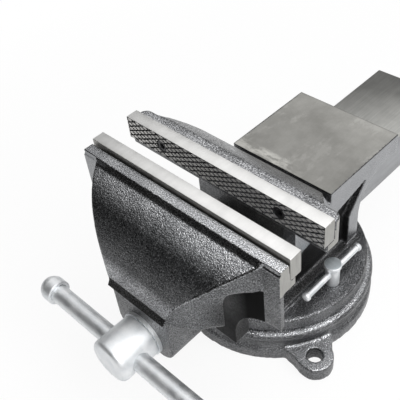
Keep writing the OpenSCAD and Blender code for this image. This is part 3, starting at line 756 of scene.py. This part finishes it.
# Fixed body: jaw, neck, anvil, housing and turntable in one casting
bodyCasting = {
    "pitch": 1.1 * mm, "passes": 1, "triangles": 190000,
    "keen": {"anvil": (0.3, {"y": (13, far), "z": (127, far)}), "ends": (0.3, {"out": (98.5, far)})},
    "seat": {"wear": 0.3, "behind": 1},
    "neck": {"edge": (-38.8 * mm, 180 * mm), "reach": 6 * mm, "slack": 2,
             "half": 84 * mm, "run": 6 * mm, "passes": 12},
}
bodyZones = {
    # Painted shade: the dark edge coat along the anvil's top edges
    "anvilSides": (edgeShadePaintMat, {
        "out": (51.7, far), "y": (13.5, far), "z": (128, 131.5), "faceZ": (0.2, far)}),
    "anvilRim": (edgeShadePaintMat, {"y": (13.5, far), "z": (128, 131.5), "faceZ": (0.2, 0.96)}),
    "anvilTop": (anvilMat, {"y": (14, far), "z": (130.5, 132), "faceZ": (0.96, far)}),
    "bareEnds": (machinedEndAndShadeMat, {"out": (99.2, far), "faceOut": (0.93, far)}),
    # Painted shade: the near-black coat in the side pockets and on the sill
    "pockets": (pocketShadeMat, {"out": (42, 52), "y": (-31, 67), "z": (52, 112.2)}),
    "sill": (pocketShadeMat, {"z": (48, 51), "faceZ": (0.8, far)}),
    # Painted light: the lighter side coat on the upright sides
    "uprights": (litSidePaintMat, {"out": (51, far), "y": (-32, far), "z": (50, far), "faceOut": (0.9, far)}),
    "disc": (discPaintMat, {"z": (-far, 56), "faceZ": (0.6, far)}),
    "neck": (neckPaintMat, {"y": (-50, far), "z": (171, far), "faceY": (-0.4, far), "faceZ": (0.12, far)}),
}


def buildFixedBody():
    p = bodyCasting
    body = mergedCopy("fixed_body", "fixedBody")
    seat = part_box("rear_jaw_plate")[1].y / mm
    wear = {**p["keen"], "seat": (p["seat"]["wear"], {"y": (-far, seat + p["seat"]["behind"])})}

    def neckWear(co):
        n = p["neck"]
        away = np.hypot(co[:, 1] - n["edge"][0], co[:, 2] - n["edge"][1])
        near = n["slack"] * (1 - away / n["reach"])
        across = (n["half"] - np.abs(co[:, 0])) / n["run"]
        return np.prod(np.clip((near, across), 0, 1), axis=0)

    softCasting(body, p, (lambda co: wearOf(co, wear), p["passes"]), (neckWear, p["neck"]["passes"]))
    paintZones(body.data, paintMat, bodyZones)
    evenNormals(body)
    finishPiece(body, "turntable", "hammertone_casting", "fixed_body")
    print("fixed body:", len(body.data.polygons), "faces")


buildFixedBody()


# Swivel base
baseCasting = {"pitch": 1.25 * mm, "passes": 4, "triangles": 120000}


def buildBase():
    base = mergedCopy("swivel_base", "swivelBase")
    softCasting(base, baseCasting, (lambda co: wearOf(co, {}), baseCasting["passes"]))
    paintZones(base.data, paintMat, {})
    evenNormals(base)
    finishPiece(base, "base", "hammertone_casting", "swivel_base")
    print("base:", len(base.data.polygons), "faces")


buildBase()


# Jaw plates: ground blocks with a cross-cut gripping face
crossCut = {
    "pitchX": 9.15 * mm, "pitchZ": 4.45 * mm, "depth": 0.8 * mm, "corners": 4, "flat": 0.65, "foot": 0.985,
    "sunk": 0.05 * mm, "trim": 0.3 * mm, "slab": 60 * mm, "flank": 0.9,
    "holePitch": 120 * mm, "holeRise": 9.5 * mm, "holeR": 5.5 * mm, "holeRim": 1 * mm, "holeSides": 40,
    "drill": 50 * mm, "flatAngle": 2, "edgeAngle": 1.2, "edgeLength": 9 * mm,
    "edge": 0.5 * mm, "edgeSteps": 2,
}


def crossCutTree():
    tree, size, output = startTree("crossCut", {
        "Columns": "Int", "Rows": "Int", "Pitch X": "Float", "Pitch Z": "Float", "Depth": "Float",
        "Flat": "Float", "Foot": "Float", "Turn": "Float", "Place": "Vector", "Material": "Material"})

    def grid(fewer):
        columns = math2(tree, "SUBTRACT", size["Columns"], float(fewer))
        rows = math2(tree, "SUBTRACT", size["Rows"], float(fewer))
        wide = math2(tree, "MULTIPLY", math2(tree, "SUBTRACT", columns, 1.0), size["Pitch X"])
        tall = math2(tree, "MULTIPLY", math2(tree, "SUBTRACT", rows, 1.0), size["Pitch Z"])
        node = addNode(tree, "GeometryNodeMeshGrid", {
            "Size X": wide, "Size Y": tall, "Vertices X": columns, "Vertices Y": rows})
        return node.outputs["Mesh"]

    points = addNode(tree, "GeometryNodeJoinGeometry")
    for fewer in (0, 1):  # the second grid fills the gaps of the first
        tree.links.new(grid(fewer), points.inputs[0])
    tooth = addNode(tree, "GeometryNodeMeshCone", {
        "Vertices": crossCut["corners"], "Radius Top": size["Flat"],
        "Radius Bottom": size["Foot"], "Depth": 1.0})
    halfX, halfZ = (math2(tree, "MULTIPLY", size[pitch], 0.5) for pitch in ("Pitch X", "Pitch Z"))
    scale = addNode(tree, "ShaderNodeCombineXYZ", {0: halfX, 1: halfZ, 2: size["Depth"]})
    teeth = addNode(tree, "GeometryNodeInstanceOnPoints", {
        "Points": points.outputs[0], "Instance": tooth.outputs["Mesh"], "Scale": scale.outputs[0]})
    placed = addNode(tree, "GeometryNodeTransform", {
        "Geometry": teeth.outputs[0], "Translation": size["Place"], "Rotation": vectorOf(tree, size["Turn"])})
    endTree(tree, output, placed.outputs[0], size["Material"])
    return tree


cutTree = crossCutTree()


# Keeps the teeth inside the plate's edges and out of its screw holes
def trimTeeth(teeth, low, high):
    p = crossCut
    bm = bmesh.new()
    bmesh.ops.create_cube(bm, size=1)
    span = Vector((high.x - low.x - 2 * p["trim"], p["slab"], high.z - low.z - 2 * p["trim"]))
    bm.transform(Matrix.Translation((low + high) / 2) @ Matrix.Diagonal((*span, 1)))
    slab = newObject("trimSlab", meshFrom(bm, "trimSlab"))
    for x in (-p["holePitch"] / 2, p["holePitch"] / 2):
        place = (x, (low.y + high.y) / 2, low.z + p["holeRise"])
        drill(slab, "Y", place, p["holeR"], p["drill"], p["holeSides"])
    cutWith(teeth, slab, "INTERSECT")


# The way is 1 where the plate grips to the front, -1 where it grips to the rear
def buildPlate(node, name, body, way):
    p = crossCut
    plate = mergedCopy(node, name)
    low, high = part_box(node)
    face = low.y if way > 0 else high.y
    floor = face + way * p["depth"]
    bm = bmesh.new()
    bm.from_mesh(plate.data)
    bmesh.ops.dissolve_limit(bm, angle_limit=math.radians(p["flatAngle"]), verts=bm.verts, edges=bm.edges)
    outer = [e for e in bm.edges if e.is_manifold and e.calc_face_angle(0) > p["edgeAngle"]
             and e.calc_length() > p["edgeLength"]]
    bmesh.ops.bevel(bm, geom=outer, offset=p["edge"], segments=p["edgeSteps"], profile=0.5, affect="EDGES")
    for vert in bm.verts:
        if abs(vert.co.y - face) < meshSet["close"]:
            vert.co.y += way * p["depth"]
    bmesh.ops.triangulate(bm, faces=bm.faces)
    bm.to_mesh(plate.data)
    bm.free()

    def inHole(centers):
        aside = np.abs(centers[:, 0]) - p["holePitch"] / 2
        return np.hypot(aside, centers[:, 2] - low.z - p["holeRise"]) < p["holeR"] + p["holeRim"]

    # Painted shade: dark steel on the floor between the teeth and in the screw holes
    gripping, back = ({"faceY": (-far, -p["flank"])}, {"faceY": (p["flank"], far)})[::way]
    paintZones(plate.data, plateMat, {
        "holes": (darkSteelAndShadeMat, inHole), "gripping": (darkSteelAndShadeMat, gripping),
        # Painted shade: the darker end steel on the back face
        "ends": (machinedEndAndShadeMat, {"faceOut": (p["flank"], far)}), "back": (machinedEndAndShadeMat, back)})
    smoothByAngle(plate)
    middle = (low + high) / 2
    teeth = runTree(name + "Teeth", cutTree, {
        "Columns": math.ceil((high.x - low.x) / p["pitchX"]) + 1,
        "Rows": math.ceil((high.z - low.z) / p["pitchZ"]) + 1,
        "Pitch X": p["pitchX"], "Pitch Z": p["pitchZ"], "Depth": p["depth"] + p["sunk"],
        "Flat": p["flat"], "Foot": p["foot"], "Turn": math.radians(90) * way,
        "Place": (middle.x, floor + way * p["sunk"], middle.z), "Material": teethMat})
    trimTeeth(teeth, low, high)
    # Painted shade: dark steel on the teeth's flanks
    paintZones(teeth.data, teethMat, {"flanks": (darkSteelAndShadeMat, {"faceY": (-p["flank"], p["flank"])})})
    smoothByAngle(teeth)
    joinInto(plate, teeth)
    finishPiece(plate, body, "ground_steel", node)
    print(name + ":", len(plate.data.polygons), "faces")


buildPlate("rear_jaw_plate", "rearJawPlate", "turntable", 1)
buildPlate("front_jaw_plate", "frontJawPlate", "moving_jaw", -1)

# Socket screws sunk in the gripping faces
plateScrew = {
    "headR": 5.3 * mm, "headLen": 5 * mm, "shankR": 3.3 * mm, "chamfer": 0.5 * mm, "steps": 3, "sides": 40,
    "socketR": 2.9 * mm, "socketDeep": 3 * mm, "socketSides": 6, "pitch": 120 * mm,
}


def screwTree():
    tree, size, output = startTree("platePair", {
        "Screw": "Object", "Pitch": "Float", "Place": "Vector", "Turn": "Float", "Material": "Material"})
    line = addNode(tree, "GeometryNodeMeshLine", {
        "Count": 2, "Start Location": vectorOf(tree, math2(tree, "MULTIPLY", size["Pitch"], -0.5)),
        "Offset": vectorOf(tree, size["Pitch"])})
    form = addNode(tree, "GeometryNodeObjectInfo", {"Object": size["Screw"]})
    pair = addNode(tree, "GeometryNodeInstanceOnPoints", {
        "Points": line.outputs[0], "Instance": form.outputs["Geometry"],
        "Rotation": vectorOf(tree, size["Turn"])})
    placed = addNode(tree, "GeometryNodeTransform", {
        "Geometry": pair.outputs[0], "Translation": size["Place"]})
    endTree(tree, output, placed.outputs[0], size["Material"])
    return tree


pairTree = screwTree()


def buildScrews(node, name, body, way):
    p = plateScrew
    low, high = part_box(node)
    long = high.y - low.y
    screw = lathe("socketScrew", [
        (0, 0, 0), (0, p["headR"], p["chamfer"]), (p["headLen"], p["headR"], p["chamfer"]),
        (p["headLen"], p["shankR"], 0), (long, p["shankR"], p["chamfer"]), (long, 0, 0),
    ], "Z", (0, 0, 0), p["sides"], p["steps"])
    drill(screw, "Z", (0, 0, 0), p["socketR"], p["socketDeep"], p["socketSides"])
    smoothByAngle(screw)
    start = low.y if way > 0 else high.y
    pair = runTree(name, pairTree, {
        "Screw": screw, "Pitch": p["pitch"], "Place": (0, start, (low.z + high.z) / 2),
        "Turn": math.radians(-90) * way, "Material": darkSteelAndShadeMat})
    bpy.data.objects.remove(screw)
    finishPiece(pair, body, "plain_steel", node)
    print(name + ":", len(pair.data.polygons), "faces")


buildScrews("rear_jaw_screws", "rearJawScrews", "turntable", 1)
buildScrews("front_jaw_screws", "frontJawScrews", "moving_jaw", -1)


# Wound pieces: a round section swept along a spiral about Y
def coilTree():
    tree, size, output = startTree("coil", {
        "Steps": "Int", "Turns": "Float", "Radius": "Float", "Run": "Float", "Section": "Float",
        "Sides": "Int", "Place": "Vector", "Material": "Material"})
    path = addNode(tree, "GeometryNodeCurveSpiral", {
        "Resolution": size["Steps"], "Rotations": size["Turns"], "Start Radius": size["Radius"],
        "End Radius": size["Radius"], "Height": size["Run"]})
    ring = addNode(tree, "GeometryNodeCurvePrimitiveCircle", {
        "Resolution": size["Sides"], "Radius": size["Section"]})
    tube = addNode(tree, "GeometryNodeCurveToMesh", {
        "Curve": path.outputs[0], "Profile Curve": ring.outputs[0], "Fill Caps": True})
    placed = addNode(tree, "GeometryNodeTransform", {
        "Geometry": tube.outputs[0], "Translation": size["Place"], "Rotation": (math.radians(-90), 0, 0)})
    endTree(tree, output, placed.outputs[0], size["Material"])
    return tree


windTree = coilTree()
springForm = {"steps": 40, "turns": 4.0, "wire": 2.4 * mm, "sides": 14, "smooth": 60}


def buildSpring():
    p = springForm
    low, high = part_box("return_spring")
    inset = p["wire"] / 2
    spring = runTree("returnSpring", windTree, {
        "Steps": p["steps"], "Turns": p["turns"], "Radius": (high.x - low.x - p["wire"]) / 2,
        "Run": high.y - low.y - p["wire"], "Section": inset, "Sides": p["sides"],
        "Place": (0, low.y + inset, (low.z + high.z) / 2), "Material": darkSteelAndShadeMat})
    smoothByAngle(spring, p["smooth"])
    finishPiece(spring, "screw", "plain_steel", "return_spring")
    print("spring:", len(spring.data.polygons), "faces")


buildSpring()

# Spindle: a rounded head with the cross hole, a plain neck and a coarse thread
spindleForm = {
    "axisZ": 76 * mm, "headR": 19 * mm, "headLen": 35 * mm, "front": 4 * mm, "rear": 1.5 * mm, "headSteps": 6,
    "headSides": 72, "bore": 8.15 * mm, "boreSides": 48, "drill": 50 * mm, "overlap": 1 * mm, "rod": 12 * mm,
    "root": 9.9 * mm, "runOut": 0.6 * mm, "tip": 2 * mm, "tipEdge": 0.4 * mm, "rodSteps": 4, "rodSides": 56,
    "threadFrom": -66 * mm, "lead": 6 * mm, "threadSteps": 28, "threadSides": 6,
}


def buildSpindle():
    p = spindleForm
    low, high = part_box("spindle")
    axis = (0, 0, p["axisZ"])
    back = low.y + p["headLen"]
    neck = back - p["overlap"]
    thread = p["threadFrom"]
    head = lathe("spindle", [
        (low.y, 0, 0), (low.y, p["headR"], p["front"]), (back, p["headR"], p["rear"]),
        (back, p["rod"] - p["overlap"], 0), (back, 0, 0),
    ], "Y", axis, p["headSides"], p["headSteps"])
    drill(head, "X", (0, (low.y + back) / 2, p["axisZ"]), p["bore"], p["drill"], p["boreSides"])
    rod = lathe("spindleRod", [
        (neck, 0, 0), (neck, p["rod"], 0), (thread, p["rod"], p["runOut"]),
        (thread + p["lead"] / 2, p["root"], 0), (high.y - p["tip"], p["root"], p["runOut"]),
        (high.y, p["root"] - p["tip"], p["tipEdge"]), (high.y, 0, 0),
    ], "Y", axis, p["rodSides"], p["rodSteps"])
    crest = p["rod"] - p["root"]
    run = high.y - p["tip"] - crest - thread
    ridge = runTree("spindleThread", windTree, {
        "Steps": p["threadSteps"], "Turns": run / p["lead"], "Radius": p["root"], "Run": run,
        "Section": crest, "Sides": p["threadSides"], "Place": (0, thread, p["axisZ"]), "Material": zincMat})
    for piece in (head, rod):
        oneMaterial(piece, zincMat)
    for piece in (head, rod, ridge):
        smoothByAngle(piece)
    joinInto(head, rod)
    joinInto(head, ridge)
    finishPiece(head, "screw", "zinc_plate", "spindle")
    print("spindle:", len(head.data.polygons), "faces")


buildSpindle()

# Handle: a plain bar with a domed cap pressed on each end
handleForm = {
    "axisZ": 76 * mm, "barR": 8 * mm, "edge": 0.6 * mm, "barSteps": 3, "barSides": 56,
    "capR": 11 * mm, "capLen": 18 * mm, "dome": 10.4 * mm, "rim": 1.0 * mm, "gap": 0.1 * mm,
    "capSteps": 16, "capSides": 64,
}


def buildHandle():
    p = handleForm
    low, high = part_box("handle_bar")
    place = (0, (low.y + high.y) / 2, p["axisZ"])
    bar = lathe("handleBar", [
        (low.x, 0, 0), (low.x, p["barR"], p["edge"]), (high.x, p["barR"], p["edge"]), (high.x, 0, 0),
    ], "X", place, p["barSides"], p["barSteps"])
    finishZinc(bar, "handle", "handle_bar")
    caps = (("handle_cap_left", "handleCapLeft", -1), ("handle_cap_right", "handleCapRight", 1))
    for node, name, way in caps:
        low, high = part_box(node)
        inner = high.x if way < 0 else low.x
        outer = inner + way * p["capLen"]
        cap = lathe(name, [
            (inner, p["barR"] + p["gap"], 0), (inner, p["capR"], p["rim"]),
            (outer, p["capR"], p["dome"]), (outer, 0, 0),
        ], "X", place, p["capSides"], p["capSteps"])
        finishZinc(cap, "handle", node)
    print("handle: bar and two caps")


buildHandle()

# Lock bolts and their T-bars
lockForm = {
    "threadR": 4 * mm, "shankR": 6.2 * mm, "headR": 7.5 * mm, "headLen": 3 * mm, "flare": 2.5 * mm,
    "flareEdge": 1.5 * mm, "seat": 46 * mm, "edge": 0.7 * mm, "steps": 5, "sides": 56, "drill": 20 * mm,
    "bore": 2.95 * mm, "top": 0.3, "topFace": 0.95,
    "barZ": 60 * mm, "barR": 2.8 * mm, "beadR": 3.8 * mm, "beadLen": 4 * mm, "beadEnd": 1.9 * mm,
    "beadEdge": 0.8 * mm, "beadRoot": 0.4 * mm, "barSides": 40,
}


def buildLock(side):
    p = lockForm
    low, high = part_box(side + "_lock_bolt")
    x = (low.x + high.x) / 2
    head = high.z - p["headLen"]
    neck = head - p["flare"]
    bolt = lathe(side + "LockBolt", [
        (low.z, 0, 0), (low.z, p["threadR"], p["edge"]), (p["seat"], p["threadR"], 0),
        (p["seat"], p["shankR"], p["edge"]), (neck, p["shankR"], p["flareEdge"]),
        (head, p["headR"], p["edge"]), (high.z, p["headR"], p["edge"]), (high.z, 0, 0),
    ], "Z", (x, 0, 0), p["sides"], p["steps"])
    drill(bolt, "Y", (x, 0, p["barZ"]), p["bore"], p["drill"], p["barSides"])
    # Painted shade: the darker zinc on the head's flat top
    paintZones(bolt.data, zincMat, {
        "top": (dullZincShadeMat, {"z": (high.z / mm - p["top"], far), "faceZ": (p["topFace"], far)})})
    smoothByAngle(bolt)
    finishPiece(bolt, side + "_lock", "zinc_plate", side + "_lock_bolt")
    low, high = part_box(side + "_lock_bar")
    front, rear = low.y + p["beadLen"], high.y - p["beadLen"]
    bar = lathe(side + "LockBar", [
        (low.y, 0, 0), (low.y, p["beadR"], p["beadEnd"]), (front, p["beadR"], p["beadEdge"]),
        (front, p["barR"], p["beadRoot"]), (rear, p["barR"], p["beadRoot"]),
        (rear, p["beadR"], p["beadEdge"]), (high.y, p["beadR"], p["beadEnd"]), (high.y, 0, 0),
    ], "Y", (x, 0, p["barZ"]), p["barSides"], p["steps"])
    finishZinc(bar, side + "_t_bar", side + "_lock_bar")


for side in ("left", "right"):
    buildLock(side)
print("lock bolts: 2, with their bars")

# Lights, floor and camera
studio = {
    "floorR": 0.66, "floorSides": 128, "floorColor": (0.9, 0.9, 0.9), "floorRough": 0.8,
    "floorGlow": (0.35, 0.64, 0.89, 1.0),  # from and to radius, and how much of the floor's white shows
    "floorShine": 0.3,                     # the same for reflections, which keep the floor's shade
    "ground": (0.0, -0.1, 0.0, 0.8),       # past the floor, in reflections: from and to height, and its white
    "room": 0.24,                          # plain grey of the room
    "top": {"way": (-0.25, 0.35, 0.9), "from": 0.62, "to": 0.88, "light": 0.25},
    "dark": {"way": (-0.5, -0.74, 0.45), "from": 0.45, "to": 0.8, "light": 0.23},
}
cameraSet = {
    "place": (0.283734, -0.322548, 0.520816),
    "right": (0.71446, 0.69325, -0.094611),
    "down": (0.434274, -0.545399, -0.7169),
    "forward": (-0.548592, 0.471109, -0.690726),
    "lens": 62.37, "sensor": 36, "nearest": 0.01,
}
lamps = {
    "overhead": {"place": (-0.22, 0.40, 1.25), "aim": (0, 0, 0.1), "size": 1.95, "power": 11.2},
    "right": {"place": (0.75, 0.15, 0.85), "aim": (0.05, 0, 0.1), "size": 0.5, "power": 4.0},
    "front": {"place": (0.85, -0.5, 1.1), "aim": (0, -0.05, 0.15), "size": 0.9, "power": 11.0},
}
white = (1, 1, 1, 1)


def buildFloor():
    bm = bmesh.new()
    bmesh.ops.create_circle(bm, cap_ends=True, segments=studio["floorSides"], radius=studio["floorR"])
    floor = newObject("floor", meshFrom(bm, "floor"))
    mat, tree, shader = startMaterial("paleFloor", 0.0, studio["floorRough"])
    shader.inputs["Base Color"].default_value = (*studio["floorColor"], 1)
    seen, mirrored = mirrorRays(tree)
    out = addNode(tree, "ShaderNodeVectorMath", {0: objectCoords(tree)}, operation="LENGTH").outputs["Value"]
    share = math2(tree, "ADD", math2(tree, "MULTIPLY", seen, mapRange(tree, out, *studio["floorGlow"])),
                  math2(tree, "MULTIPLY", mirrored, studio["floorShine"]))
    glow = addNode(tree, "ShaderNodeEmission", {"Color": white, "Strength": 1.0})
    blend = addNode(tree, "ShaderNodeMixShader", {0: share, 1: shader.outputs[0], 2: glow.outputs[0]})
    tree.links.new(blend.outputs[0], tree.nodes["Material Output"].inputs["Surface"])
    oneMaterial(floor, mat)


def buildWorld():
    world = bpy.data.worlds.new("studioWorld")
    world.use_nodes = True
    scene.world = world
    tree = world.node_tree
    coord = addNode(tree, "ShaderNodeTexCoord").outputs["Generated"]

    def lobe(p):
        way = Vector(p["way"]).normalized()
        lean = addNode(tree, "ShaderNodeVectorMath", {0: coord, 1: way}, operation="DOT_PRODUCT")
        return mapRange(tree, lean.outputs["Value"], p["from"], p["to"], 0.0, p["light"])

    dimmed = math2(tree, "SUBTRACT", studio["room"], lobe(studio["dark"]))
    light = math2(tree, "ADD", dimmed, lobe(studio["top"]))
    seen, mirrored = mirrorRays(tree)
    ground = math2(tree, "MULTIPLY", mirrored, mapRange(tree, parts(tree, coord)[2], *studio["ground"]))
    shade = math2(tree, "MAXIMUM", math2(tree, "MAXIMUM", light, ground), seen)
    back = tree.nodes["Background"]
    back.inputs["Color"].default_value = white
    tree.links.new(shade, back.inputs["Strength"])


def buildLamps():
    for name, lamp in lamps.items():
        data = bpy.data.lights.new(name, "AREA")
        data.shape = "SQUARE"
        data.size = lamp["size"]
        data.energy = lamp["power"]
        obj = newObject(name, data)
        obj.location = lamp["place"]
        way = Vector(lamp["aim"]) - Vector(lamp["place"])
        obj.rotation_euler = way.to_track_quat("-Z", "Y").to_euler()


def buildCamera():
    data = bpy.data.cameras.new("photoCamera")
    data.sensor_fit = "HORIZONTAL"
    data.sensor_width = cameraSet["sensor"]
    data.lens = cameraSet["lens"]
    data.clip_start = cameraSet["nearest"]
    camera = newObject("photoCamera", data)
    right, down, forward = (Vector(cameraSet[k]) for k in ("right", "down", "forward"))
    turn = Matrix((right, -down, -forward)).transposed()
    camera.matrix_world = Matrix.Translation(cameraSet["place"]) @ turn.to_4x4()
    scene.camera = camera


buildFloor()
buildWorld()
buildLamps()
buildCamera()
scene.view_settings.view_transform = "Standard"
print("studio:", len(lamps), "lamps")

# Plain solids that stay, each with its own finish
for name in ("thrust_washer", "spring_washer", "nut_washer", "nut_bolt"):
    oneMaterial(nodes[name], zincMat)
for name in ("left_clamp_nut", "right_clamp_nut", "split_pin"):
    oneMaterial(nodes[name], darkSteelAndShadeMat)
oneMaterial(nodes["spindle_nut"], bronzeMat)
